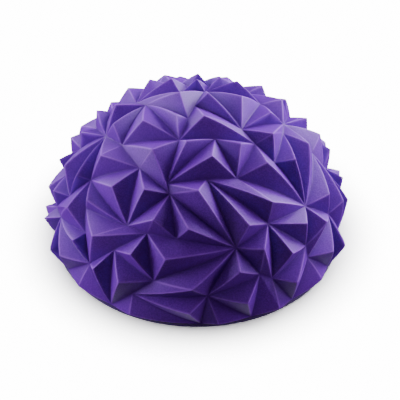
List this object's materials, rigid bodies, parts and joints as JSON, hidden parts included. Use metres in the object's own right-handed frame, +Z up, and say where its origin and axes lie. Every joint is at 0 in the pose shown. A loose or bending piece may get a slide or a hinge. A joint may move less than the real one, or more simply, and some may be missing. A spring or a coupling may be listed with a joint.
{
  "type": "balance dome trainer",
  "caption": "Air-filled half-ball balance pod with a faceted soft PVC skin, a flat ribbed base and a pull-out air valve plug.",
  "frame": {"origin": "middle of the flat underside, on the surface that the object stands on", "axes": "+Z up through the top of the dome; -Y is the side that faces the camera"},
  "size_m": [0.1582, 0.1584, 0.0826],
  "materials": {
    "skin": "satin soft PVC with a fine grain",
    "base": "matte soft PVC",
    "valve": "matte rubber",
    "plug": "moulded, slightly translucent"
  },
  "bodies": {
    "base": {"dome_shell": "skin", "base_disc": "base", "valve_seat": "valve"},
    "plug": {"valve_plug": "plug"}
  },
  "joints": [
    {"name": "valve_plug_pull", "type": "slide", "parent": "base", "child": "plug", "axis": [0, 0, -1], "range_m": [0, 0.015]}
  ]
}
